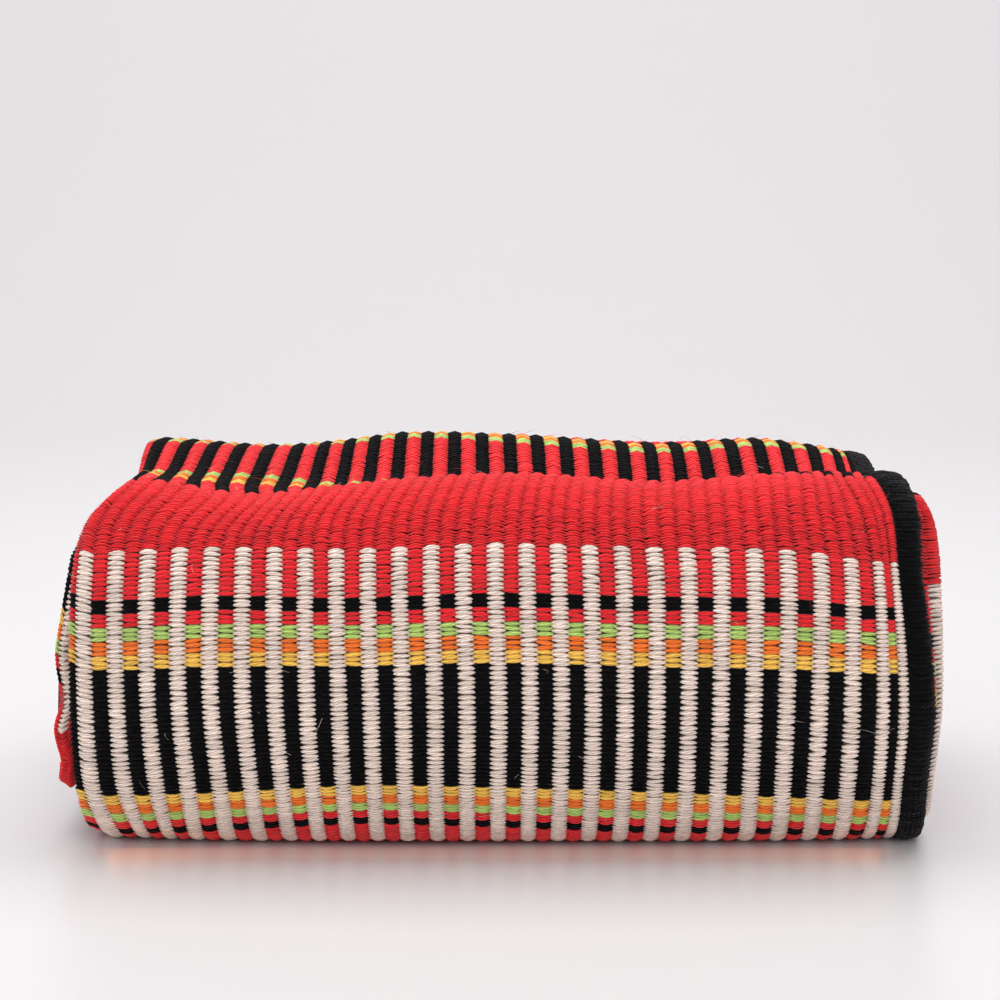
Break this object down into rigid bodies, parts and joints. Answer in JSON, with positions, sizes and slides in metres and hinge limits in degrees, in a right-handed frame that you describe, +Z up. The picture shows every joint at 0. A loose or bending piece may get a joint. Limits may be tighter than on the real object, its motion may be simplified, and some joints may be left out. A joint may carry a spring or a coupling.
{
  "type": "throw blanket",
  "caption": "Thick ribbed throw blanket folded into a plump bundle that lies flat, its long edges bound and bold stripes crossing its ribs.",
  "frame": {"origin": "middle of the bundle's footprint, on the surface that it rests on", "axes": "+X along the bundle to the right as seen from its front, -Y towards the front turn, +Z up"},
  "size_m": [0.4798, 0.2739, 0.2089],
  "materials": {
    "ribbed_cloth": "matte weft-faced ribs of plump yarn, red, white and black with narrow green, orange and yellow stripes",
    "edge_binding": "matte black yarn wrapped closely over the edge"
  },
  "bodies": {
    "root": {"throw_cloth": "ribbed_cloth", "outer_edge_binding": "edge_binding", "inner_edge_binding": "edge_binding"}
  },
  "joints": []
}
